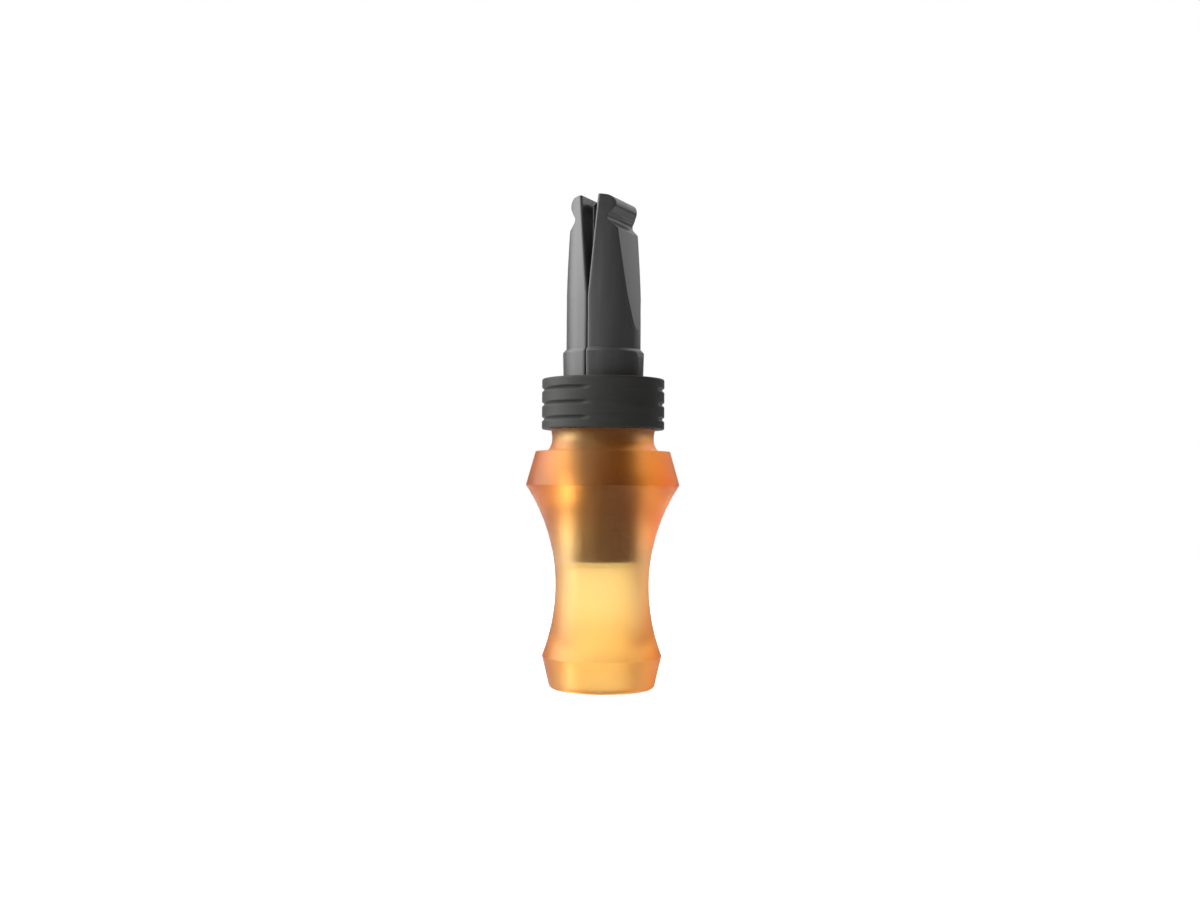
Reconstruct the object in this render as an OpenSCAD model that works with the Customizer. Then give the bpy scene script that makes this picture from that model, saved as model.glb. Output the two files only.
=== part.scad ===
// Bird call with a split bite mouthpiece, a grooved band and a turned translucent barrel.
// Millimetres. +Z points up to the mouthpiece. The origin is the centre of the exhaust end's flat face.
// +X is the normal of the plane that splits the insert, so the two jaws lie at -X and +X of the reed.

/* [Barrel] */
// Radius of the exhaust end before its rounded corner
foot_r = 11.45; // [10.8:0.05:12.5]
// Radius of the foot's rounded corner
foot_round = 0.8; // [0.3:0.1:1.2]
// Height of the lower ridge
lower_ridge_z = 6.9; // [5.5:0.1:9]
// Radius of the lower ridge
lower_ridge_r = 13.1; // [12.6:0.05:14.5]
// Height of the waist
waist_z = 22.2; // [18:0.1:26]
// Radius of the waist
waist_r = 10.35; // [10:0.05:11.2]
// Height of the upper ridge
upper_ridge_z = 44.4; // [40:0.1:47]
// Radius of the upper ridge
upper_ridge_r = 16.85; // [15.5:0.05:18.5]
// Height of the shoulder above the upper ridge
shoulder_h = 7.35; // [6:0.05:9]
// Radius of the shoulder's edge
shoulder_r = 14.75; // [13.8:0.05:15.4]
// Height of the lanyard neck between the shoulder and the band
neck_h = 4.5; // [3.5:0.1:6]
// Least radius of the lanyard neck
neck_r = 11.15; // [10.9:0.05:11.8]
// How far the neck flares out to the shoulder
neck_foot_flare = 1.15; // [0.6:0.05:1.6]
// How far the neck flares out to the band's seat
neck_top_flare = 0.3; // [0.2:0.05:0.6]
// Radius of the exhaust bore
exhaust_r = 7.25; // [6.5:0.05:7.6]
// Chamfer at the mouth of the exhaust bore
exhaust_chamfer = 0.8; // [0.3:0.1:1.5]

/* [Band] */
// Outer radius of the band
band_r = 13.45; // [12.8:0.05:14.2]
// Wall of the band, from the tenon that carries it to its outer face
band_wall = 2.82; // [2.5:0.02:3.1]
// Height of the band
band_h = 11.05; // [9:0.05:13]
// Number of grooves round the band
groove_count = 3; // [2:1:4]
// Depth of a groove
groove_depth = 0.65; // [0.3:0.05:0.9]
// Width of a groove at the surface
groove_w = 1.5; // [0.8:0.1:1.8]
// Arc of the bare panel between the ends of the grooves
panel_arc = 70; // [50:1:120]
// Direction of the panel's middle, counted from +X
panel_direction = -40; // [-90:1:0]
// Chamfer of the band's edges
band_chamfer = 0.3; // [0.1:0.05:0.5]

/* [Insert] */
// Radius of the stem
stem_r = 7.94; // [7.8:0.02:8.1]
// Length of the stem below the collar
stem_len = 39.7; // [34:0.1:43]
// Radius of the collar at its top
collar_r = 8.93; // [8.7:0.02:9.4]
// Height of the collar
collar_h = 6.4; // [5:0.1:8]
// How much narrower the collar is at its foot
collar_draft = 0.15; // [0:0.05:0.2]
// Chamfer at the top of the collar
collar_chamfer = 0.7; // [0.3:0.05:0.75]
// Radius of the mouthpiece tube
tube_r = 8.17; // [8:0.02:8.2]
// Length of the tube from the collar to the flex root, where the V starts
root_len = 11.3; // [9:0.1:13]
// Radius of the tone channel
channel_r = 3.4; // [2.8:0.05:3.8]

/* [Jaws] */
// Length of a jaw from the flex root to the tip
jaw_len = 21.85; // [20:0.05:24]
// Angle between each jaw's inner face and the split plane
jaw_open = 5.05; // [4.6:0.05:6]
// Angle through which a full bite turns each jaw
jaw_bite = 3.2; // [2.6:0.1:3.4]
// How far below the flex root the outer ramp starts
ramp_start = 4.8; // [2:0.1:8]
// Distance from the split plane to the ramp's upper edge
ramp_top_x = 5.78; // [5.4:0.02:6.2]
// How far below the tip the ramp ends
ramp_end = 7.3; // [6.6:0.05:8.4]
// Distance from the split plane to the bottom of the notch under the bite bar
notch_x = 3.85; // [3.5:0.05:4.2]
// How far below the tip the notch is deepest
notch_drop = 5.1; // [4.8:0.05:5.4]
// Distance from the split plane to the middle of the bite bar
bar_x = 3.62; // [3.5:0.02:3.8]
// Radius of the bite bar
bar_r = 1.8; // [1.6:0.05:1.9]

/* [Reed] */
// Width of the reed
reed_w = 11; // [9:0.1:11.6]
// Thickness of the reed
reed_t = 0.3; // [0.2:0.02:0.4]
// Length of the clamped end
reed_root_len = 13; // [9:0.5:16]
// How far the reed's tip lies below the tips of the jaws
reed_setback = 1.2; // [0.6:0.1:3]
// Radius of the reed's corners
reed_corner = 1.6; // [0.5:0.1:3]
// Angle through which the reed swings to each side
reed_swing = 1; // [0.5:0.1:1.2]

/* [Seals and pins] */
// Thickness of an O-ring's round section
seal_section = 1.6; // [1.2:0.1:1.8]
// Depth of the upper O-ring below the top of the barrel
seal_depth = 3.2; // [2:0.1:4]
// Distance between the two O-rings
seal_pitch = 4.4; // [3:0.1:6]
// Radius of a locating pin between the halves
pin_r = 1; // [0.7:0.05:1.2]
// Length of a locating pin
pin_len = 2.4; // [1.5:0.1:3]

/* [Hidden] */
$fn = 96;

// Clearances
stem_fit = 0.06;      // radial, between the stem and its socket
stem_end_gap = 1;     // between the stem's end and the step in the bore
band_fit = 0.03;      // radial, between the band and its tenon
reed_fit = 0.02;      // between each face of the reed and its pocket
reed_side_fit = 0.1;  // between each edge of the reed and its pocket
seal_fit = 0.02;      // between an O-ring and the wall it seals against
seal_side_fit = 0.2;  // between an O-ring and each side of its groove
pin_fit = 0.05;       // round a pin, and past its end four times over
hinge_gap = 0.02;     // between the clamped end of the reed and its tongue
over = 1;             // overrun of every cut

// Levels, from the foot up
shoulder_z = upper_ridge_z + shoulder_h;
seat_z = shoulder_z + neck_h;
barrel_top = seat_z + band_h;
stem_end = barrel_top - stem_len;
collar_top = barrel_top + collar_h;
root_z = collar_top + root_len;
tip_z = root_z + jaw_len;
ramp_z = root_z - ramp_start;
ramp_end_z = tip_z - ramp_end;
notch_z = tip_z - notch_drop;
bar_z = tip_z - bar_r;
reed_foot = root_z - reed_root_len;
reed_tip = tip_z - reed_setback;

// Barrel bores, and the tenon that carries the band
tenon_r = band_r - band_wall - band_fit;
socket_r = stem_r + stem_fit;
socket_foot = stem_end - stem_end_gap;
neck_waist_share = 0.53;  // height of the neck's least radius, as a share of the neck
stem_chamfer = 0.4;

// Points along an arc that starts upright at radius r0, level z0, and ends at radius r1, level z1
arc_steps = 14;
function flare(r0, z0, r1, z1, steps = arc_steps) =
    let (rise = z1 - z0, out = r1 - r0, bend = (rise * rise + out * out) / (2 * out))
    [for (i = [0 : steps]) let (up = rise * i / steps) [r0 + bend - sqrt(bend * bend - up * up), z0 + up]];

// Points along a round corner or bead
function arc(x, z, r, from, to, steps = arc_steps) =
    [for (i = [0 : steps]) let (a = from + (to - from) * i / steps) [x + r * cos(a), z + r * sin(a)]];

function backwards(points) = [for (i = [len(points) - 1 : -1 : 0]) points[i]];

// Distance of a jaw's inner face from the split plane
function inner_x(z) = (z - root_z) * tan(jaw_open);

// Distance of the reed pocket's floor from the split plane above the root. With the jaws bitten shut, the
// floor still clears the reed at the end of its swing, and it runs out where the V is wider than that.
function pocket_x(z) = pocket_depth + (z - root_z) * (tan(jaw_bite) + tan(reed_swing));

// Distance of the outer ramp from the split plane
function ramp_x(z) = tube_r + (ramp_top_x - tube_r) * (z - ramp_z) / (ramp_end_z - ramp_z);

// Barrel

neck_waist_z = shoulder_z + neck_h * neck_waist_share;
neck_steps = 7;
foot_steps = 5;
foot_slope = atan((lower_ridge_r - foot_r) / lower_ridge_z);

module barrel_outline() {
    polygon(concat(
        [[exhaust_r + exhaust_chamfer, 0]],
        arc(foot_r - foot_round, foot_round, foot_round, -90, -foot_slope, foot_steps),
        [[lower_ridge_r, lower_ridge_z]],
        backwards(flare(waist_r, waist_z, lower_ridge_r, lower_ridge_z)),
        flare(waist_r, waist_z, upper_ridge_r, upper_ridge_z),
        [[shoulder_r, shoulder_z]],
        backwards(flare(neck_r, neck_waist_z, neck_r + neck_foot_flare, shoulder_z, neck_steps)),
        flare(neck_r, neck_waist_z, neck_r + neck_top_flare, seat_z, neck_steps),
        [[tenon_r, seat_z], [tenon_r, barrel_top], [socket_r, barrel_top], [socket_r, socket_foot],
         [exhaust_r, socket_foot], [exhaust_r, exhaust_chamfer]]));
}

module barrel() {
    color([0.93, 0.6, 0.25, 0.7])
        rotate_extrude() barrel_outline();
}

// Band

groove_pitch = band_h / (groove_count + 1);
groove_share = 1.07;  // the grooves' spacing, as a share of an even spread

module band_outline() {
    polygon([[tenon_r + band_fit, seat_z], [band_r - band_chamfer, seat_z],
             [band_r, seat_z + band_chamfer], [band_r, barrel_top - band_chamfer],
             [band_r - band_chamfer, barrel_top], [tenon_r + band_fit, barrel_top]]);
}

module groove_outline(z) {
    polygon([[band_r - groove_depth, z],
             [band_r, z - groove_w / 2], [band_r + over, z - groove_w / 2],
             [band_r + over, z + groove_w / 2], [band_r, z + groove_w / 2]]);
}

module band() {
    color([0.2, 0.2, 0.2])
        difference() {
            rotate_extrude() band_outline();
            for (i = [1 : groove_count])
                rotate([0, 0, panel_direction + panel_arc / 2])
                    rotate_extrude(angle = 360 - panel_arc)
                        groove_outline(seat_z + band_h / 2
                                       + (i - (groove_count + 1) / 2) * groove_pitch * groove_share);
        }
}

// Insert

seal_ring_r = socket_r - seal_fit - seal_section / 2;
seal_groove_r = seal_ring_r - seal_section / 2 - seal_fit;
seal_groove_w = seal_section + 2 * seal_side_fit;
upper_seal_z = barrel_top - seal_depth;
lower_seal_z = upper_seal_z - seal_pitch;
pocket_depth = reed_t / 2 + reed_fit;
pocket_w = reed_w + 2 * reed_side_fit;

module insert_outline() {
    polygon([[0, stem_end], [stem_r - stem_chamfer, stem_end], [stem_r, stem_end + stem_chamfer],
             [stem_r, lower_seal_z - seal_groove_w / 2], [seal_groove_r, lower_seal_z - seal_groove_w / 2],
             [seal_groove_r, lower_seal_z + seal_groove_w / 2], [stem_r, lower_seal_z + seal_groove_w / 2],
             [stem_r, upper_seal_z - seal_groove_w / 2], [seal_groove_r, upper_seal_z - seal_groove_w / 2],
             [seal_groove_r, upper_seal_z + seal_groove_w / 2], [stem_r, upper_seal_z + seal_groove_w / 2],
             [stem_r, barrel_top], [collar_r - collar_draft, barrel_top],
             [collar_r, collar_top - collar_chamfer], [collar_r - collar_chamfer, collar_top],
             [tube_r, collar_top], [tube_r, root_z], [0, root_z]]);
}

// A solid of one depth along Y, from an outline in X and Z
module across(depth) {
    rotate([90, 0, 0])
        translate([0, 0, -depth / 2])
            linear_extrude(depth) children();
}

module ramp_waste() {
    across(2 * (tube_r + over))
        polygon([[tube_r, ramp_z], [ramp_x(root_z + over), root_z + over],
                 [tube_r + over, root_z + over], [tube_r + over, ramp_z]]);
}

// The pins' middles lie halfway across the flat land beside the tone channel
pin_y = (channel_r + stem_r) / 2;
pin_lift_shares = [0.16, 0.62];  // heights of the pins, as shares of the stem's length

module at_pins() {
    for (share = pin_lift_shares, side = [-1, 1])
        translate([0, side * pin_y, stem_end + share * stem_len])
            rotate([0, 90, 0]) children();
}

module stem_half() {
    difference() {
        rotate_extrude() insert_outline();
        translate([-2 * collar_r, -collar_r - over, stem_end - over])
            cube([2 * collar_r, 2 * (collar_r + over), root_z - stem_end + 2 * over]);
        translate([0, 0, stem_end - over])
            cylinder(r = channel_r, h = root_z - stem_end + 2 * over);
        translate([-pocket_depth, -pocket_w / 2, reed_foot])
            cube([2 * pocket_depth, pocket_w, reed_root_len + over]);
        ramp_waste();
    }
}

module right_stem_half() {
    color([0.3, 0.3, 0.3])
        difference() {
            stem_half();
            at_pins() translate([0, 0, -over])
                cylinder(r = pin_r + pin_fit, h = over + pin_len + 4 * pin_fit);
        }
}

module left_stem_half() {
    color([0.36, 0.36, 0.36])
        union() {
            mirror([1, 0, 0]) stem_half();
            at_pins() translate([0, 0, -pin_len])
                cylinder(r = pin_r, h = 2 * pin_len);
        }
}

// Jaws

bar_steps = 12;
bar_under = -35;  // where the bead of the bite bar runs out into the notch, counted from level
notch_steps = 8;
notch_r = 1.1;    // radius of the notch's hollow
notch_from = 125;
notch_to = 225;
mouth_share = 0.55;  // length of the channel's run-out, as a share of the jaw
mouth_r_share = 0.47;  // radius at the end of the run-out, as a share of the channel's
mouth_z = root_z + mouth_share * jaw_len;
mouth_r = mouth_r_share * channel_r;

module jaw_outline() {
    polygon(concat(
        [[0, root_z], [inner_x(tip_z), tip_z]],
        backwards(arc(bar_x, bar_z, bar_r, bar_under, 90, bar_steps)),
        arc(notch_x + notch_r, notch_z, notch_r, notch_from, notch_to, notch_steps),
        [[ramp_top_x, ramp_end_z], [ramp_x(root_z), root_z]]));
}

module pocket_outline() {
    polygon([[-over, root_z - over], [pocket_depth, root_z - over], [pocket_depth, root_z],
             [pocket_x(tip_z + over), tip_z + over], [-over, tip_z + over]]);
}

module jaw() {
    difference() {
        intersection() {
            translate([0, 0, root_z]) cylinder(r = tube_r, h = jaw_len);
            across(2 * tube_r + over) jaw_outline();
        }
        across(pocket_w) pocket_outline();
        translate([0, 0, root_z])
            cylinder(r1 = channel_r, r2 = mouth_r, h = mouth_z - root_z);
        translate([0, 0, mouth_z]) sphere(r = mouth_r);
    }
}

module right_jaw() {
    color([0.34, 0.34, 0.34]) jaw();
}

module left_jaw() {
    color([0.4, 0.4, 0.4]) mirror([1, 0, 0]) jaw();
}

// Reed

module reed_tongue_outline() {
    side = reed_w / 2;
    polygon(concat([[-side, root_z + hinge_gap], [side, root_z + hinge_gap]],
                   arc(side - reed_corner, reed_tip - reed_corner, reed_corner, 0, 90, bar_steps),
                   arc(reed_corner - side, reed_tip - reed_corner, reed_corner, 90, 180, bar_steps)));
}

module reed_tongue() {
    color([0.75, 0.75, 0.72])
        rotate([90, 0, 90])
            translate([0, 0, -reed_t / 2]) linear_extrude(reed_t) reed_tongue_outline();
}

module reed_root() {
    color([0.7, 0.7, 0.67])
        translate([-reed_t / 2, -reed_w / 2, reed_foot])
            cube([reed_t, reed_w, reed_root_len]);
}

// Seals

module seal(z) {
    color([0.12, 0.12, 0.12])
        rotate_extrude()
            translate([seal_ring_r, z]) circle(d = seal_section);
}

module upper_seal() {
    seal(upper_seal_z);
}

module lower_seal() {
    seal(lower_seal_z);
}

barrel();
band();
left_stem_half();
right_stem_half();
left_jaw();
right_jaw();
reed_tongue();
reed_root();
upper_seal();
lower_seal();
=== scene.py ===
"""A mouth-blown bird call, dressed for a photograph.

The call stands on the wide end of its barrel. A split mouthpiece with a reed in it is pushed into a frosted amber
barrel, and a grooved band is seated on the barrel's top. Sizes in the classes are millimetres, and each finished
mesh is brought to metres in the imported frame.
"""

import logging
import math
from bisect import bisect_right
from collections.abc import Iterator, Sequence
from contextlib import contextmanager
from dataclasses import dataclass
from enum import Enum

import bpy
from mathutils import Euler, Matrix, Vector


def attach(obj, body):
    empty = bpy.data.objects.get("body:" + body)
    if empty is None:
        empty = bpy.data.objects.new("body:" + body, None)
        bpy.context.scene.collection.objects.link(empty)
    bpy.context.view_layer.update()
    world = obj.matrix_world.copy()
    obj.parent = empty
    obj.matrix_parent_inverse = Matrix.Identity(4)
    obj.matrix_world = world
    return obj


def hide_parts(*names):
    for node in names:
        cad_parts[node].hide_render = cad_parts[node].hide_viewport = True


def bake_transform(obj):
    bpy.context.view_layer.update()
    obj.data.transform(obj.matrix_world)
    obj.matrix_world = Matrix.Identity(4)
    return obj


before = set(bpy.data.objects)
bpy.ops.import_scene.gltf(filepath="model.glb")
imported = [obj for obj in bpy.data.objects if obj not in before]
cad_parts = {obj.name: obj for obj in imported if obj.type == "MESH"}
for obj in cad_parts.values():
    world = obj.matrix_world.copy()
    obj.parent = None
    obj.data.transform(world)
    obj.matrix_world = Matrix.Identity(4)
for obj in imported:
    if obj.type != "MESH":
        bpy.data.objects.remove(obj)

LOG = logging.getLogger("bird_call")
MM = 0.001
WELD = 0.002  # millimetres, within which two levels or vertices count as one
BRACE = 0.07  # millimetres, from a corner to the extra point that keeps the side next to it flat
Point = tuple[float, float]
Corner = tuple[float, float, float]
Colour = tuple[float, float, float]


class Side(Enum):
    """Which half of the split insert, by the direction its outside faces."""

    LEFT = -1
    RIGHT = 1


class Cut(Enum):
    """What a boolean tool does to the piece."""

    AWAY = "DIFFERENCE"
    ONTO = "UNION"


# Outlines


def rounded(corners: Sequence[Corner], steps: int = 4) -> list[Point]:
    """Rounds the corners of an outline.

    Args:
        corners: Across, up and the radius of each corner, where 0 leaves it sharp.
        steps: Segments in each round.

    Returns:
        The outline's points.
    """
    points: list[Point] = []
    for i, (x, z, radius) in enumerate(corners):
        here = Vector((x, z))
        back = Vector(corners[i - 1][:2]) - here
        ahead = Vector(corners[(i + 1) % len(corners)][:2]) - here
        if radius <= 0:
            points.append((x, z))
            continue
        back.normalize()
        ahead.normalize()
        half = back.angle(ahead) / 2
        middle = here + (back + ahead).normalized() * radius / math.sin(half)
        start = here + back * radius / math.tan(half) - middle
        end = here + ahead * radius / math.tan(half) - middle
        turn = -start.angle_signed(end)
        for k in range(steps + 1):
            c, s = math.cos(turn * k / steps), math.sin(turn * k / steps)
            points.append((middle.x + start.x * c - start.y * s, middle.y + start.x * s + start.y * c))
    return points


def arc(x: float, z: float, radius: float, start: float, end: float, steps: int = 12) -> list[Point]:
    """Points along an arc, with its angles in degrees."""
    angles = [math.radians(start + (end - start) * i / steps) for i in range(steps + 1)]
    return [(x + radius * math.cos(a), z + radius * math.sin(a)) for a in angles]


def flare(r0: float, z0: float, r1: float, z1: float, steps: int = 20) -> list[Point]:
    """Points along an arc that starts upright at radius r0, level z0, and ends at radius r1, level z1."""
    rise, out = z1 - z0, r1 - r0
    bend = (rise * rise + out * out) / (2 * out)
    ups = [rise * i / steps for i in range(steps + 1)]
    return [(r0 + bend - math.sqrt(bend * bend - up * up), z0 + up) for up in ups]


def sharp(points: Sequence[Point]) -> list[Corner]:
    """The points as corners that stay as they are."""
    return [(x, z, 0.0) for x, z in points]


def braced(points: Sequence[Point]) -> list[Point]:
    """Adds a point close to each end of every long side of a closed outline, so that its faces shade flat.

    Args:
        points: The outline.

    Returns:
        The outline with its extra points.
    """
    out: list[Point] = []
    for i, point in enumerate(points):
        a, b = Vector(point), Vector(points[(i + 1) % len(points)])
        out.append(point)
        if (b - a).length > 6 * BRACE:
            step = (b - a).normalized() * BRACE
            out += [tuple(a + step), tuple(b - step)]
    return out


def level(points: Sequence[Point], z: float) -> float:
    """How far out an outline that climbs all the way lies at one height."""
    heights = [height for _, height in points]
    i = min(max(bisect_right(heights, z), 1), len(points) - 1)
    (x0, z0), (x1, z1) = points[i - 1], points[i]
    share = min(max((z - z0) / (z1 - z0), 0.0), 1.0)
    return x0 + (x1 - x0) * share


# Bench tools


def pick(piece: bpy.types.Object) -> None:
    """Makes the piece the only selected object and the active one."""
    bpy.ops.object.select_all(action="DESELECT")
    piece.select_set(True)
    bpy.context.view_layer.objects.active = piece


@contextmanager
def editing(piece: bpy.types.Object, mode: str = "VERT") -> Iterator[None]:
    """Opens the piece in edit mode.

    Args:
        piece: The mesh to edit.
        mode: What a selection is made of, VERT, EDGE or FACE.
    """
    pick(piece)
    bpy.ops.object.mode_set(mode="EDIT")
    bpy.ops.mesh.select_mode(type=mode)
    try:
        yield
    finally:
        bpy.ops.object.mode_set(mode="OBJECT")


def drawn(name: str, places: Sequence[Sequence[float]]) -> bpy.types.Object:
    """Draws a closed ring of edges.

    Args:
        name: Name of the new object.
        places: The ring's vertices, in order.

    Returns:
        The ring.
    """
    bpy.ops.object.select_all(action="DESELECT")
    bpy.ops.mesh.primitive_circle_add(vertices=len(places), fill_type="NOTHING")
    ring = bpy.context.object
    ring.name = name
    for vertex, place in zip(ring.data.vertices, places):
        vertex.co = place
    return ring


def turned(name: str, points: Sequence[Point], steps: int) -> bpy.types.Object:
    """Turns an outline once round the Z axis, as on a lathe.

    Args:
        name: Name of the new object.
        points: The outline, as radius and height.
        steps: Faces in one turn.

    Returns:
        The closed solid.
    """
    piece = drawn(name, [(r, 0.0, z) for r, z in points])
    with editing(piece):
        bpy.ops.mesh.select_all(action="SELECT")
        bpy.ops.mesh.spin(steps=steps, angle=math.tau, center=(0, 0, 0), axis=(0, 0, 1))
        bpy.ops.mesh.select_all(action="SELECT")
        bpy.ops.mesh.remove_doubles(threshold=WELD)
        bpy.ops.mesh.normals_make_consistent(inside=False)
    return piece


def drawn_up(name: str, rings: Sequence[Sequence[Sequence[float]]]) -> bpy.types.Object:
    """Extrudes a ring upwards through a row of rings, and closes both ends.

    Args:
        name: Name of the new object.
        rings: Rings of equally many vertices, from the lowest up.

    Returns:
        The closed solid.
    """
    bpy.ops.object.select_all(action="DESELECT")
    bpy.ops.mesh.primitive_circle_add(vertices=len(rings[0]), fill_type="NGON")
    piece = bpy.context.object
    piece.name = name
    order = {(vertex.co.x, vertex.co.y): i for i, vertex in enumerate(piece.data.vertices)}
    with editing(piece, "FACE"):
        bpy.ops.mesh.select_all(action="SELECT")
        for _ in rings[1:]:
            bpy.ops.mesh.extrude_region_move(TRANSFORM_OT_translate={"value": (0, 0, 1)})
    for vertex in piece.data.vertices:
        vertex.co = rings[round(vertex.co.z)][order[vertex.co.x, vertex.co.y]]
    with editing(piece):
        bpy.ops.mesh.select_all(action="SELECT")
        bpy.ops.mesh.normals_make_consistent(inside=False)
    return piece


def scored(piece: bpy.types.Object, heights: Sequence[float]) -> None:
    """Adds a row of edges at each height, so that the piece can bend there."""
    with editing(piece):
        for height in heights:
            bpy.ops.mesh.select_all(action="SELECT")
            bpy.ops.mesh.bisect(plane_co=(0, 0, height), plane_no=(0, 0, 1), threshold=WELD / 4)


def apply(piece: bpy.types.Object, kind: str, **settings: object) -> None:
    """Adds a modifier with these settings and applies it."""
    pick(piece)
    modifier = piece.modifiers.new(kind.lower(), kind)
    for name, value in settings.items():
        setattr(modifier, name, value)
    bpy.ops.object.modifier_apply(modifier=modifier.name)


def carve(piece: bpy.types.Object, tool: bpy.types.Object, how: Cut) -> None:
    """Cuts a tool's shape out of the piece, or joins it on, and throws the tool away."""
    apply(piece, "BOOLEAN", object=tool, operation=how.value, solver="EXACT")
    bpy.data.objects.remove(tool)


def finished(piece: bpy.types.Object, name: str, material: bpy.types.Material, crease: float = 32) -> bpy.types.Object:
    """Brings a finished mesh from millimetres to the frame's metres, smooths it and gives it its material.

    Args:
        piece: The mesh, in millimetres.
        name: The piece's name in the table.
        material: Its finish.
        crease: Edges sharper than this angle, in degrees, stay sharp.

    Returns:
        The piece.
    """
    pick(piece)
    bpy.ops.transform.resize(value=(MM, MM, MM), center_override=(0, 0, 0))
    bpy.ops.object.transform_apply(location=True, rotation=True, scale=True)
    bpy.ops.object.shade_smooth_by_angle(angle=math.radians(crease))
    piece.name = piece.data.name = name
    piece.data.materials.clear()
    piece.data.materials.append(material)
    LOG.info("%s: %d faces", name, len(piece.data.polygons))
    return piece


# Finishes


class Nodes:
    """A node tree, with short ways to add to it."""

    def __init__(self, tree: bpy.types.NodeTree) -> None:
        """Takes over a tree and empties it."""
        self.tree = tree
        tree.nodes.clear()

    def add(self, kind: str, **values: object) -> bpy.types.Node:
        """Adds a node. Capitalised values name its sockets, with spaces as underscores, and others its settings."""
        node = self.tree.nodes.new(kind)
        for key, value in values.items():
            if not key[0].isupper():
                setattr(node, key, value)
        for key, value in values.items():
            if key[0].isupper():
                self.feed(value, node.inputs[key.replace("_", " ")])
        return node

    def feed(self, value: object, socket: bpy.types.NodeSocket) -> None:
        """Links a socket to another, or sets it to a plain value."""
        if isinstance(value, bpy.types.NodeSocket):
            self.tree.links.new(value, socket)
        elif socket.type == "RGBA":
            socket.default_value = (*value, 1.0)
        else:
            socket.default_value = value

    def maths(self, operation: str, *values: object) -> bpy.types.NodeSocket:
        """Adds a sum of one, two or three values."""
        node = self.tree.nodes.new("ShaderNodeMath")
        node.operation = operation
        for value, socket in zip(values, node.inputs):
            self.feed(value, socket)
        return node.outputs[0]

    def between(self, share: bpy.types.NodeSocket, low: object, high: object) -> bpy.types.NodeSocket:
        """Goes from one value to another as a share goes from 0 to 1."""
        return self.add("ShaderNodeMapRange", Value=share, To_Min=low, To_Max=high).outputs[0]


def finish(name: str) -> tuple[bpy.types.Material, Nodes, bpy.types.Node]:
    """Starts a finish.

    Args:
        name: Name of the material.

    Returns:
        The material, its emptied node tree and the tree's output.
    """
    material = bpy.data.materials.new(name)
    material.use_nodes = True
    nodes = Nodes(material.node_tree)
    return material, nodes, nodes.add("ShaderNodeOutputMaterial")


@dataclass(frozen=True)
class Grain:
    """Fine surface relief that every moulded finish shares: speckle, drawn-out streaks and cloudy wear."""

    speckle_per_m: float = 5200.0
    streak_per_m: float = 900.0
    cloud_per_m: float = 120.0
    speckle_detail: float = 2.0
    streak_detail: float = 3.0
    NAME = "moulded grain"

    def group(self) -> bpy.types.NodeTree:
        """Builds the shared node group once.

        Returns:
            A group with Place, Stretch and Speckle in, and Height, Cloud and Streak out.
        """
        found = bpy.data.node_groups.get(self.NAME)
        if found:
            return found
        tree = bpy.data.node_groups.new(self.NAME, "ShaderNodeTree")
        nodes = Nodes(tree)
        for name, kind in (("Place", "Vector"), ("Stretch", "Vector"), ("Speckle", "Float")):
            tree.interface.new_socket(name, in_out="INPUT", socket_type=f"NodeSocket{kind}")
        for name in ("Height", "Cloud", "Streak"):
            tree.interface.new_socket(name, in_out="OUTPUT", socket_type="NodeSocketFloat")
        ports, out = nodes.add("NodeGroupInput").outputs, nodes.add("NodeGroupOutput")
        stretched = nodes.add("ShaderNodeVectorMath", operation="MULTIPLY")
        nodes.feed(ports["Place"], stretched.inputs[0])
        nodes.feed(ports["Stretch"], stretched.inputs[1])

        def noise(place: bpy.types.NodeSocket, scale: float, detail: float) -> bpy.types.NodeSocket:
            """A noise over the piece, from 0 to 1."""
            return nodes.add("ShaderNodeTexNoise", Vector=place, Scale=scale, Detail=detail).outputs["Fac"]

        fine = noise(ports["Place"], self.speckle_per_m, self.speckle_detail)
        streak = noise(stretched.outputs[0], self.streak_per_m, self.streak_detail)
        nodes.feed(nodes.between(ports["Speckle"], streak, fine), out.inputs["Height"])
        nodes.feed(noise(ports["Place"], self.cloud_per_m, self.streak_detail), out.inputs["Cloud"])
        nodes.feed(streak, out.inputs["Streak"])
        return tree


@dataclass(frozen=True)
class MouldedPlastic:
    """Satin thermoplastic or rubber, with grain in its relief and a little wear in its shine."""

    name: str
    colour: Colour
    pale: Colour
    roughness: float
    roughness_spread: float
    shine: float
    relief: float
    stretch: tuple[float, float, float] = (1.0, 1.0, 0.06)
    speckle: float = 0.5
    streak_contrast: float = 1.6

    def material(self) -> bpy.types.Material:
        """Builds the finish.

        Returns:
            The material.
        """
        material, nodes, output = finish(self.name)
        place = nodes.add("ShaderNodeTexCoord").outputs["Object"]
        grain = nodes.add("ShaderNodeGroup", node_tree=Grain().group(), Place=place, Stretch=self.stretch,
                          Speckle=self.speckle).outputs
        tone = nodes.add("ShaderNodeMix", data_type="RGBA")
        middle = (1 - self.streak_contrast) / 2
        nodes.feed(nodes.maths("MULTIPLY_ADD", grain["Streak"], self.streak_contrast, middle), tone.inputs["Factor"])
        nodes.feed(self.colour, tone.inputs[6])
        nodes.feed(self.pale, tone.inputs[7])
        low, high = self.roughness - self.roughness_spread, self.roughness + self.roughness_spread
        bump = nodes.add("ShaderNodeBump", Strength=1.0, Distance=self.relief, Height=grain["Height"])
        skin = nodes.add("ShaderNodeBsdfPrincipled", Base_Color=tone.outputs[2],
                         Roughness=nodes.between(grain["Streak"], low, high), Specular_IOR_Level=self.shine,
                         Normal=bump.outputs[0])
        nodes.feed(skin.outputs[0], output.inputs["Surface"])
        return material


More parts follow.
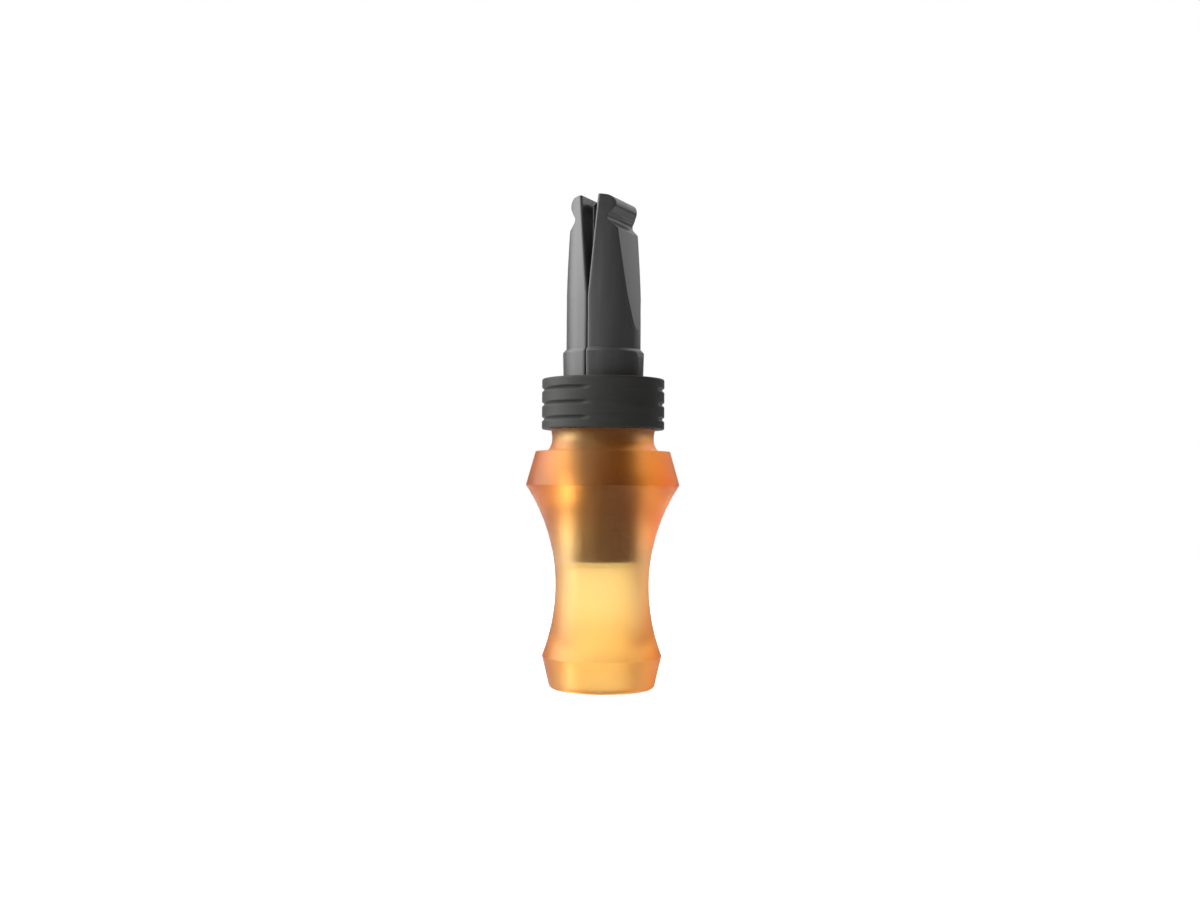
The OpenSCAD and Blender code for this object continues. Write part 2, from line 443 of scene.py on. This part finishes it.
@dataclass(frozen=True)
class FrostedAmber:
    """Amber plastic with a satin outside and a smoother bore. A faint orange painted glow, given as emission, stands
    for light scattered inside it.
    """

    name: str = "frosted amber"
    tint: Colour = (1.0, 0.95, 0.66)
    absorbs: Colour = (0.948, 0.58, 0.02)
    density: float = 124.4
    index: float = 1.56
    gloss_tint: Colour = (1.0, 0.65, 0.35)
    # painted glow: emission strength and colour that make the amber glow orange, standing for light scattered inside it
    painted_glow: float = 0.018
    painted_glow_tint: Colour = (1.0, 0.12, 0.0)
    outside_roughness: float = 0.414
    bore_roughness: float = 0.142
    bore_radius_m: float = 0.0083
    speckle: float = 0.9
    wear: float = 0.05
    relief: float = 0.000006

    def material(self) -> bpy.types.Material:
        """Builds the finish.

        Returns:
            The material, with its colour in the volume.
        """
        material, nodes, output = finish(self.name)
        place = nodes.add("ShaderNodeTexCoord").outputs["Object"]
        grain = nodes.add("ShaderNodeGroup", node_tree=Grain().group(), Place=place, Stretch=(1.0, 1.0, 1.0),
                          Speckle=self.speckle).outputs
        flat = nodes.add("ShaderNodeVectorMath", operation="MULTIPLY")
        nodes.feed(place, flat.inputs[0])
        nodes.feed((1.0, 1.0, 0.0), flat.inputs[1])
        radius = nodes.add("ShaderNodeVectorMath", operation="LENGTH")
        nodes.feed(flat.outputs[0], radius.inputs[0])
        outside = nodes.maths("GREATER_THAN", radius.outputs["Value"], self.bore_radius_m)
        rough = nodes.between(outside, self.bore_roughness, self.outside_roughness)
        worn = nodes.maths("MULTIPLY_ADD", grain["Cloud"], self.wear, rough)
        bump = nodes.add("ShaderNodeBump", Strength=1.0, Distance=self.relief, Height=grain["Height"])
        # The emission is a painted glow: orange light painted onto the amber for light scattered inside it.
        skin = nodes.add("ShaderNodeBsdfPrincipled", Base_Color=self.tint, Roughness=worn, IOR=self.index,
                         Specular_Tint=self.gloss_tint, Transmission_Weight=1.0, Emission_Color=self.painted_glow_tint,
                         Emission_Strength=self.painted_glow, Normal=bump.outputs[0])
        inside = nodes.add("ShaderNodeVolumeAbsorption", Color=self.absorbs, Density=self.density)
        nodes.feed(skin.outputs[0], output.inputs["Surface"])
        nodes.feed(inside.outputs[0], output.inputs["Volume"])
        return material


# Pieces


@dataclass
class Barrel:
    """The turned amber barrel: exhaust end, waist, two ridges, lanyard neck and the tenon under the band."""

    foot_r: float = 11.45
    foot_round: float = 0.8
    lower_ridge: Point = (13.1, 6.9)
    waist: Point = (10.25, 22.2)
    upper_ridge: Point = (16.85, 44.1)
    shoulder: Point = (14.75, 51.5)
    neck: Point = (11.15, 54.135)
    neck_foot_flare: float = 1.15
    neck_top_flare: float = 0.3
    seat_z: float = 56.25
    tenon_r: float = 10.6
    top_z: float = 67.3
    socket: Point = (8.0, 26.6)
    exhaust_r: float = 7.25
    exhaust_chamfer: float = 0.8
    ridge_round: float = 0.2
    edge_round: float = 0.25
    socket_round: float = 0.15
    step_round: float = 0.1
    turn_steps: int = 192

    def build(self, amber: bpy.types.Material) -> bpy.types.Object:
        """Turns the barrel.

        Args:
            amber: Its finish.

        Returns:
            The piece.
        """
        soft = self.edge_round
        neck_foot = (self.neck[0] + self.neck_foot_flare, self.shoulder[1])
        outline = rounded([
            (self.exhaust_r + self.exhaust_chamfer, 0, soft),
            (self.foot_r, 0, self.foot_round),
            (*self.lower_ridge, self.ridge_round),
            *sharp(flare(*self.waist, *self.lower_ridge)[-2:0:-1]),
            *sharp(flare(*self.waist, *self.upper_ridge)[:-1]),
            (*self.upper_ridge, self.ridge_round),
            (*self.shoulder, soft),
            (*neck_foot, 0),
            *sharp(flare(*self.neck, *neck_foot, 10)[-2:0:-1]),
            *sharp(flare(*self.neck, self.neck[0] + self.neck_top_flare, self.seat_z, 8)),
            (self.tenon_r, self.seat_z, 0),
            (self.tenon_r, self.top_z, soft),
            (self.socket[0], self.top_z, self.socket_round),
            (*self.socket, self.step_round),
            (self.exhaust_r, self.socket[1], self.step_round),
            (self.exhaust_r, self.exhaust_chamfer, self.ridge_round),
        ])
        piece = finished(turned("barrel_turned", braced(outline), self.turn_steps), "amber_barrel", amber, crease=40)
        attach(piece, "barrel")
        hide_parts("barrel")
        return piece


@dataclass
class Band:
    """The grooved ring, whose grooves run out at the edges of a bare panel."""

    outer_r: float = 13.45
    bore_r: float = 10.63
    foot_z: float = 56.25
    top_z: float = 67.3
    groove_heights: tuple[float, ...] = (58.56, 61.8, 64.97)
    groove_depth: float = 0.55
    groove_below: float = 0.64
    groove_above: float = 0.42
    edge_round: float = 0.35
    lip_round: float = 0.12
    bore_round: float = 0.1
    panel_middle: float = -40.0
    panel_arc: float = 70.0
    runout_arc: float = 12.0
    turn_steps: int = 180

    def depth_share(self, angle: float) -> float:
        """How deep the grooves are in a direction.

        Args:
            angle: Direction in degrees, counted from +X.

        Returns:
            0 on the bare panel, 1 where the grooves are whole.
        """
        away = abs((angle - self.panel_middle + 180) % 360 - 180)
        share = (away - self.panel_arc / 2) / self.runout_arc
        share = min(max(share, 0.0), 1.0)
        return share * share * (3 - 2 * share)

    def build(self, rubber: bpy.types.Material) -> bpy.types.Object:
        """Turns the ring with whole grooves, then fills them out again towards the panel.

        Args:
            rubber: Its finish.

        Returns:
            The piece.
        """
        corners = [(self.bore_r, self.foot_z, self.bore_round), (self.outer_r, self.foot_z, self.edge_round)]
        for z in self.groove_heights:
            corners += [(self.outer_r, z - self.groove_below, self.lip_round),
                        (self.outer_r - self.groove_depth, z, self.lip_round / 2),
                        (self.outer_r, z + self.groove_above, self.lip_round)]
        corners += [(self.outer_r, self.top_z, self.edge_round), (self.bore_r, self.top_z, self.bore_round)]
        piece = turned("band_turned", braced(rounded(corners)), self.turn_steps)
        low = self.groove_heights[0] - 2 * self.groove_below
        high = self.groove_heights[-1] + 2 * self.groove_above
        for vertex in piece.data.vertices:
            radius = math.hypot(vertex.co.x, vertex.co.y)
            if low < vertex.co.z < high and radius > self.outer_r - 2 * self.groove_depth:
                share = self.depth_share(math.degrees(math.atan2(vertex.co.y, vertex.co.x)))
                filled = self.outer_r - (self.outer_r - radius) * share
                vertex.co.x *= filled / radius
                vertex.co.y *= filled / radius
        finished(piece, "grooved_band", rubber, crease=40)
        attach(piece, "barrel")
        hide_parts("band")
        return piece


@dataclass
class InsertHalf:
    """One moulding of the split insert: half the stem, half the collar and one jaw with its bite bar."""

    side: Side
    stem_r: float = 7.94
    stem_foot: float = 27.6
    stem_chamfer: float = 0.4
    seal_heights: tuple[float, float] = (59.7, 64.1)
    seal_groove_r: float = 6.36
    seal_groove_w: float = 2.0
    collar_foot: float = 67.3
    collar_r: float = 8.93
    collar_draft: float = 0.15
    collar_chamfer: float = 0.7
    collar_top: float = 73.7
    collar_round: float = 0.3
    collar_step: float = 0.16
    collar_root_round: float = 0.06
    lip_round: float = 0.1
    root_round: float = 0.2
    tube_r: float = 8.17
    bend_round: float = 0.5
    jaw_draft: float = 0.45
    root_z: float = 85.0
    tip_z: float = 106.85
    channel_r: float = 3.4
    mouth: Point = (1.6, 97.02)
    opening: float = 5.05
    bite: float = 3.2
    reed_swing: float = 1.0
    ramp_foot: float = 77.9
    ramp_top: Point = (5.78, 99.55)
    ramp_round: float = 0.45
    ramp_shares: tuple[float, ...] = (0.97, 0.8, 0.6, 0.4, 0.2, 0.05)
    notch: Point = (3.85, 101.75)
    notch_r: float = 1.1
    notch_arc: tuple[float, float] = (225, 125)
    score: float = 0.08
    score_span: tuple[float, float, float] = (0.1, 0.25, 0.4)
    bar: Point = (3.62, 105.05)
    bar_r: float = 1.8
    bar_arc: tuple[float, float] = (-38, 90)
    pocket_depth: float = 0.17
    pocket_w: float = 11.2
    reed_foot: float = 72.0
    pin_places: tuple[Point, Point] = ((5.67, 33.95), (5.67, 52.21))
    pin_r: float = 1.0
    pin_len: float = 2.4
    pin_gap: float = 0.05
    flex_len: float = 8.0
    seam_round: float = 0.42
    crest_round: float = 0.3
    crown: float = 0.004
    tip_round: float = 0.2
    seam_lip: float = 0.2
    seam_lip_w: float = 2.0
    slant: float = 0.01
    land: float = 0.3
    long_side: float = 0.5
    pocket_bank: float = 0.03
    wall_steps: int = 22
    channel_steps: int = 12

    def wall(self) -> list[Point]:
        """The outside, as radius and height.

        Returns:
            Points from the stem's end to the tip, each higher than the last.
        """
        up = self.slant
        outer, inner = self.lip_round, self.root_round
        corners = [(self.stem_r - self.stem_chamfer, self.stem_foot, 0),
                   (self.stem_r, self.stem_foot + self.stem_chamfer, outer)]
        for z in self.seal_heights:
            low, high = z - self.seal_groove_w / 2, z + self.seal_groove_w / 2
            corners += [(self.stem_r, low - up, outer), (self.seal_groove_r, low + up, inner),
                        (self.seal_groove_r, high - up, inner), (self.stem_r, high + up, outer)]
        corners += [
            (self.stem_r, self.collar_foot, 0),
            (self.collar_r - self.collar_draft, self.collar_foot + 2 * up, inner),
            (self.collar_r, self.collar_top - self.collar_chamfer, self.collar_round),
            (self.tube_r + self.collar_step, self.collar_top - up, outer),
            (self.tube_r, self.collar_top + up, self.collar_root_round),
            (self.tube_r, self.root_z, self.bend_round),
            (self.tube_r - self.jaw_draft, self.tip_z, self.tip_round),
            (0, self.tip_z, 0),
        ]
        return rounded(corners)[:-1]

    def crest(self) -> list[Point]:
        """The ramp, the notch and the far side of the bite bar, as distance from the split plane and height.

        Returns:
            Points from the stem's end to the tip, each higher than the last.
        """
        beyond = 2 * self.tube_r
        slope = (self.ramp_top[0] - self.tube_r) / (self.ramp_top[1] - self.ramp_foot)
        hollow = arc(self.notch[0] + self.notch_r, self.notch[1], self.notch_r, *self.notch_arc)
        bead = arc(*self.bar, self.bar_r, *self.bar_arc, 16)
        lip = Vector(hollow[-1])
        along = (Vector(bead[0]) - lip).normalized()
        inward = Vector((-along.y, along.x)) * self.score
        near, middle, far = (lip + along * reach for reach in self.score_span)
        mark = [tuple(near), tuple(middle + inward), tuple(far)]
        start = (beyond, self.ramp_foot - (beyond - self.tube_r) / -slope)
        top = rounded([(*start, 0), (*self.ramp_top, self.ramp_round), (*hollow[0], 0)])
        return top[:-1] + hollow + mark + bead

    def face(self) -> list[Point]:
        """The inner face, flat in the stem and leaning out along the V, as distance from the split plane and height."""
        tip_x = math.tan(math.radians(self.opening)) * (self.tip_z - self.root_z)
        return rounded([(0, self.stem_foot, 0), (0, self.root_z, 0), (tip_x, self.tip_z, self.tip_round),
                        (self.bar[0], self.tip_z, 0)])[:-1]

    def bore(self) -> list[Point]:
        """The tone channel and its run-out in the V, as radius and height."""
        dome = arc(0, self.mouth[1], self.mouth[0], 0, 89, 6)
        return [(self.channel_r, self.stem_foot), (self.channel_r, self.root_z), *dome, (0.001, self.tip_z)]

    def heights(self, *outlines: list[Point]) -> list[float]:
        """The heights at which the moulding gets a ring of vertices.

        Args:
            outlines: The outlines whose corners need one.

        Returns:
            The heights, from the stem's end to the tip.
        """
        flex = [self.root_z + self.flex_len * i / 10 for i in range(11)]
        pocket = [self.reed_foot - self.slant, self.reed_foot + self.slant]
        run_in = [self.ramp_foot + 0.02 * 1.7 ** i for i in range(10)]
        wanted = sorted([z for outline in outlines for _, z in outline] + flex + pocket + run_in)
        kept: list[float] = []
        for z in wanted:
            if self.stem_foot <= z <= self.tip_z and (not kept or z - kept[-1] > WELD):
                if kept and z - kept[-1] > self.long_side:
                    kept += [kept[-1] + BRACE, z - BRACE]
                kept.append(z)
        return kept

    def ring(self, z: float, radius: float, crest: float, face: float, bore: float) -> list[tuple[float, float, float]]:
        """One level outline of the right half.

        Args:
            z: Its height.
            radius: The outside's radius.
            crest: Where ramp or bite bar cuts the outside off.
            face: Where the inner face lies.
            bore: The tone channel's radius.

        Returns:
            The ring, from the near edge of the inner face round the outside and back along the face.
        """
        lip = self.seam_lip if z > self.collar_foot else 0.0
        crest = min(crest, math.sqrt(radius ** 2 - self.land ** 2))
        soft = self.seam_round

        def rounding(edge_r: float, x: float, size: float, start: float | None, end: float | None) -> list[Point]:
            """Rounds the edge between the outside and an upright plane at x."""
            middle = (x, -math.sqrt((edge_r - size) ** 2 - x ** 2))
            out = math.degrees(math.atan2(middle[1], middle[0]))
            return arc(*middle, size, out if start is None else start, out if end is None else end, 4)

        seam = rounding(radius + lip, face + soft, soft, -180, None)
        brow = rounding(radius, crest - self.crest_round, self.crest_round, None, 0)
        first = math.atan2(seam[-1][1], seam[-1][0])
        last = math.atan2(brow[0][1], brow[0][0])
        bend: list[Point] = []
        for i in range(1, self.wall_steps):
            a = first + (last - first) * i / self.wall_steps
            rise = max(0.0, 1 - (a - first) * radius / self.seam_lip_w)
            out = radius + lip * rise * rise
            bend.append((out * math.cos(a), out * math.sin(a)))
        width = -brow[-1][1]
        fade = min(max((self.notch[1] - z) / (self.notch[1] - self.ramp_top[1]), 0.0), 1.0)
        swell = self.crown * fade * width ** 2
        ramp = [(crest + swell * (1 - share ** 2), -share * width) for share in self.ramp_shares]
        near = seam + bend + brow + ramp
        outside = near + [(x, -y) for x, y in reversed(near)]

        shut = (z - self.root_z) * (math.tan(math.radians(self.bite)) + math.tan(math.radians(self.reed_swing)))
        floor = max(face, self.pocket_depth + max(shut, 0.0)) if z > self.reed_foot else face
        edge = self.pocket_w / 2
        half = math.sqrt(max(bore ** 2 - floor ** 2, self.land ** 2))
        channel = []
        for i in range(self.channel_steps + 1):
            y = half * math.cos(math.pi * i / self.channel_steps)
            channel.append((max(floor, math.sqrt(max(bore ** 2 - y ** 2, 0.0))), y))
        inside = [(face, -seam[0][1] - 0.08), (face, edge), (floor, edge - self.pocket_bank), (floor, half + 0.1)]
        ring = outside + inside + channel + [(x, -y) for x, y in reversed(inside)]
        tilt = max(0.0, (z - self.notch[1]) / (self.tip_z - self.notch[1])) * math.tan(math.radians(self.opening))
        return [(x, y, z - tilt * (x - face)) for x, y in ring]

    def build(self, plastic: bpy.types.Material) -> bpy.types.Object:
        """Draws the moulding up through its rings, and fits its pins or their sockets.

        Args:
            plastic: Its finish.

        Returns:
            The piece, with extra rings of vertices from the jaw's root up, where it could bend.
        """
        outlines = self.wall(), self.crest(), self.face(), self.bore()
        rings = [self.ring(z, *(level(outline, z) for outline in outlines)) for z in self.heights(*outlines)]
        piece = drawn_up("half_drawn", rings)
        if self.side is Side.LEFT:
            with editing(piece):
                bpy.ops.mesh.select_all(action="SELECT")
                bpy.ops.transform.resize(value=(-1, 1, 1), center_override=(0, 0, 0))
                bpy.ops.mesh.normals_make_consistent(inside=False)
        self.locate(piece)
        side = self.side.name.lower()
        finished(piece, f"{side}_half", plastic, crease=38)
        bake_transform(piece)
        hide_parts(f"{side}_stem_half", f"{side}_jaw")
        return piece

    def locate(self, piece: bpy.types.Object) -> None:
        """Gives the left half its moulded pins and the right half the sockets they enter."""
        right = self.side is Side.RIGHT
        radius = self.pin_r + (self.pin_gap if right else 0)
        length = self.pin_len + (4 * self.pin_gap if right else 0)
        for y, z in self.pin_places:
            for end in (-1, 1):
                bpy.ops.object.select_all(action="DESELECT")
                bpy.ops.mesh.primitive_cylinder_add(vertices=32, radius=radius, depth=2 * length,
                                                    location=(0, end * y, z), rotation=(0, math.pi / 2, 0))
                carve(piece, bpy.context.object, Cut.AWAY if right else Cut.ONTO)


@dataclass
class Reed:
    """The strip of film clamped between the halves, which swings in the V between the jaws."""

    width: float = 11.0
    thickness: float = 0.3
    foot_z: float = 72.0
    root_z: float = 85.0
    tip_z: float = 105.65
    corner: float = 1.6
    edge: float = 0.06
    rows: int = 24
    flex_len: float = 9.0

    def build(self, film: bpy.types.Material) -> bpy.types.Object:
        """Cuts the strip from a block and rounds its tip.

        Args:
            film: Its finish.

        Returns:
            The piece, with rows of edges along its length, where it could bend.
        """
        bpy.ops.object.select_all(action="DESELECT")
        bpy.ops.mesh.primitive_cube_add(size=1, location=(0, 0, (self.foot_z + self.tip_z) / 2))
        piece = bpy.context.object
        piece.dimensions = (self.thickness, self.width, self.tip_z - self.foot_z)
        bpy.ops.object.transform_apply(location=True, rotation=True, scale=True)
        mesh = piece.data
        for part in (*mesh.vertices, *mesh.polygons):
            part.select = False
        for edge in mesh.edges:
            ends = [mesh.vertices[v].co for v in edge.vertices]
            edge.select = all(end.z > self.root_z for end in ends) and abs(ends[0].x - ends[1].x) > self.thickness / 2
        with editing(piece, "EDGE"):
            bpy.ops.mesh.bevel(offset=self.corner, segments=10, affect="EDGES")
        apply(piece, "BEVEL", width=self.edge, segments=2, limit_method="ANGLE", angle_limit=math.radians(40))
        step = (self.tip_z - self.foot_z) / self.rows
        scored(piece, [self.foot_z + step * i for i in range(1, self.rows)])
        finished(piece, "reed", film, crease=40)
        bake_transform(piece)
        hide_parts("reed_root", "reed_tongue")
        return piece


@dataclass
class Seals:
    """The two O-rings on the stem, squeezed a little flat where they meet the socket."""

    ring_r: float = 7.18
    section: float = 1.6
    heights: tuple[tuple[str, float], ...] = (("upper_seal", 64.1), ("lower_seal", 59.7))
    flash: float = 0.05
    squeeze: float = 0.02
    section_steps: int = 24
    turn_steps: int = 96

    def outline(self, height: float) -> list[Point]:
        """The ring's section, with a mould line above and below and a flat on the outside."""
        radius = self.section / 2
        points = []
        for i in range(self.section_steps):
            a = math.tau * i / self.section_steps
            mould_line = i % (self.section_steps // 2) == self.section_steps // 4
            bulge = radius + (self.flash if mould_line else 0)
            points.append((self.ring_r + min(bulge * math.cos(a), radius - self.squeeze), height + bulge * math.sin(a)))
        return points

    def build(self, rubber: bpy.types.Material) -> list[bpy.types.Object]:
        """Turns both rings.

        Args:
            rubber: Their finish.

        Returns:
            The pieces.
        """
        pieces = []
        for node, height in self.heights:
            piece = turned(node, self.outline(height), self.turn_steps)
            finished(piece, f"{node}_ring", rubber, crease=60)
            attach(piece, "insert")
            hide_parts(node)
            pieces.append(piece)
        return pieces


# Studio


@dataclass(frozen=True)
class Softbox:
    """A large soft light that faces the call, placed by its direction in degrees and its distance in metres."""

    name: str
    turn: float
    rise: float
    distance: float
    size: tuple[float, float]
    radiance: float


@dataclass
class Studio:
    """White backdrop, small pale floor, two soft lights on the left and a weak one behind on the right."""

    image: tuple[int, int] = (1200, 900)
    focal_px: float = 1274.0
    horizon_px: float = 483.3
    axis_px: float = 602.7
    lean: float = 0.36
    azimuth: float = 25.3
    camera_height: float = 44.5
    distance: float = 280.0
    fill: float = 0.18
    side_gloss: float = 0.02
    side_glow: float = 0.25
    back_glow: float = 1.15
    gloss_span: tuple[float, float] = (28.0, 8.0)
    glow_span: tuple[float, float] = (45.5, 8.7)
    glow_turn: float = 189.0
    floor_r_m: float = 0.6
    floor_grey: float = 0.8
    floor_lift: float = 0.75
    glass_lift: float = 0.3
    aim_m: float = 0.06
    lights: tuple[Softbox, ...] = (
        Softbox("key", -83.2, 42, 0.45, (1.02, 0.58), 3.0),
        Softbox("rim", -90, 12, 0.5, (0.36, 0.3), 3.4),
        Softbox("kicker", 139, 36, 0.5, (0.45, 0.5), 1.25),
    )

    def aside(self, turn: float) -> Vector:
        """A level direction, counted in degrees to the right from the one towards the camera."""
        a = math.radians(self.azimuth + turn)
        return Vector((math.sin(a), -math.cos(a), 0))

    def camera(self) -> bpy.types.Object:
        """Sets up the camera at the photograph's place.

        Returns:
            The camera.
        """
        width, height = self.image
        data = bpy.data.cameras.new("camera")
        data.sensor_width = 36.0
        data.lens = self.focal_px / width * data.sensor_width
        data.clip_start, data.clip_end = 0.01, 20.0
        camera = bpy.data.objects.new("camera", data)
        bpy.context.scene.collection.objects.link(camera)
        pitch = math.atan((self.horizon_px - height / 2) / self.focal_px)
        yaw = math.atan((self.axis_px - width / 2) / self.focal_px)
        camera.location = (self.aside(0) * self.distance + Vector((0, 0, self.camera_height))) * MM
        camera.rotation_euler = Euler((math.pi / 2 + pitch, -math.radians(self.lean), math.radians(self.azimuth) + yaw))
        bpy.context.scene.camera = camera
        return camera

    def world(self) -> None:
        """Lights softly from all round, with a white backdrop behind the call in gloss and through the amber."""
        world = bpy.data.worlds.new("studio")
        world.use_nodes = True
        bpy.context.scene.world = world
        nodes = Nodes(world.node_tree)
        output = nodes.add("ShaderNodeOutputWorld")
        rays = nodes.add("ShaderNodeLightPath").outputs
        way = nodes.add("ShaderNodeTexCoord").outputs["Generated"]

        def backdrop(turn: float, span: tuple[float, float], side: float, back: float) -> bpy.types.NodeSocket:
            """Strength that goes from the sides' to the backdrop's between two angles off its middle."""
            facing = nodes.add("ShaderNodeVectorMath", operation="DOT_PRODUCT")
            nodes.feed(way, facing.inputs[0])
            nodes.feed(tuple(self.aside(turn)), facing.inputs[1])
            edge, full = (math.cos(math.radians(angle)) for angle in span)
            return nodes.add("ShaderNodeMapRange", interpolation_type="SMOOTHSTEP", Value=facing.outputs["Value"],
                             From_Min=edge, From_Max=full, To_Min=side, To_Max=back).outputs[0]

        gloss = backdrop(180.0, self.gloss_span, self.side_gloss, 1.0)
        glow = backdrop(self.glow_turn, self.glow_span, self.side_glow, self.back_glow)
        strength = nodes.between(rays["Is Glossy Ray"], self.fill, gloss)
        strength = nodes.between(rays["Is Transmission Ray"], strength, glow)
        strength = nodes.between(rays["Is Camera Ray"], strength, 1.0)
        air = nodes.add("ShaderNodeBackground", Color=(1.0, 1.0, 1.0), Strength=strength)
        nodes.feed(air.outputs[0], output.inputs["Surface"])

    def hang(self, light: Softbox) -> None:
        """Hangs a softbox. Its radiance is how bright its face is, where 1 is the white background."""
        data = bpy.data.lights.new(light.name, "AREA")
        data.shape = "RECTANGLE"
        data.size, data.size_y = light.size
        data.energy = light.radiance * math.pi * light.size[0] * light.size[1]
        lamp = bpy.data.objects.new(light.name, data)
        bpy.context.scene.collection.objects.link(lamp)
        rise = math.radians(light.rise)
        aim = Vector((0, 0, self.aim_m))
        away = self.aside(light.turn) * math.cos(rise) + Vector((0, 0, math.sin(rise)))
        lamp.location = aim + away * light.distance
        lamp.rotation_euler = (-away).to_track_quat("-Z", "Y").to_euler()

    def floor(self) -> None:
        """Lays a pale floor that keeps the call's shadow."""
        bpy.ops.object.select_all(action="DESELECT")
        bpy.ops.mesh.primitive_circle_add(vertices=96, radius=self.floor_r_m, fill_type="NGON")
        floor = bpy.context.object
        floor.name = "floor"
        material, nodes, output = finish("pale floor")
        rays = nodes.add("ShaderNodeLightPath").outputs
        matt = nodes.add("ShaderNodeBsdfDiffuse", Color=(self.floor_grey,) * 3)
        lift = nodes.between(rays["Is Transmission Ray"], 0.0, self.glass_lift)
        lift = nodes.between(rays["Is Camera Ray"], lift, self.floor_lift)
        glow = nodes.add("ShaderNodeEmission", Color=(1.0, 1.0, 1.0), Strength=lift)
        both = nodes.add("ShaderNodeAddShader")
        nodes.feed(matt.outputs[0], both.inputs[0])
        nodes.feed(glow.outputs[0], both.inputs[1])
        nodes.feed(both.outputs[0], output.inputs["Surface"])
        floor.data.materials.append(material)

    def build(self) -> None:
        """Sets up camera, world, lights and floor."""
        self.camera()
        self.world()
        self.floor()
        for light in self.lights:
            self.hang(light)
        bpy.context.scene.view_settings.view_transform = "Standard"


INSERT_PLASTIC = MouldedPlastic("satin insert plastic", (0.045, 0.045, 0.045), (0.059, 0.059, 0.059), 0.4, 0.05, 0.6,
                                0.000010)
BAND_RUBBER = MouldedPlastic("band rubber", (0.028, 0.028, 0.027), (0.038, 0.038, 0.036), 0.5, 0.06, 0.22, 0.000015,
                             (0.1, 0.1, 1.0))
REED_FILM = MouldedPlastic("reed film", (0.05, 0.05, 0.049), (0.065, 0.065, 0.063), 0.42, 0.04, 0.4, 0.000004)
SEAL_RUBBER = MouldedPlastic("seal rubber", (0.02, 0.02, 0.02), (0.03, 0.03, 0.03), 0.45, 0.05, 0.4, 0.000008)


def main() -> None:
    """Builds the studio and every piece."""
    logging.basicConfig(level=logging.INFO, format="%(message)s")
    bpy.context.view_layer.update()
    Studio().build()
    insert_plastic = INSERT_PLASTIC.material()
    Barrel().build(FrostedAmber().material())
    Band().build(BAND_RUBBER.material())
    for side in Side:
        InsertHalf(side).build(insert_plastic)
    Reed().build(REED_FILM.material())
    Seals().build(SEAL_RUBBER.material())


if __name__ == "__main__":
    main()
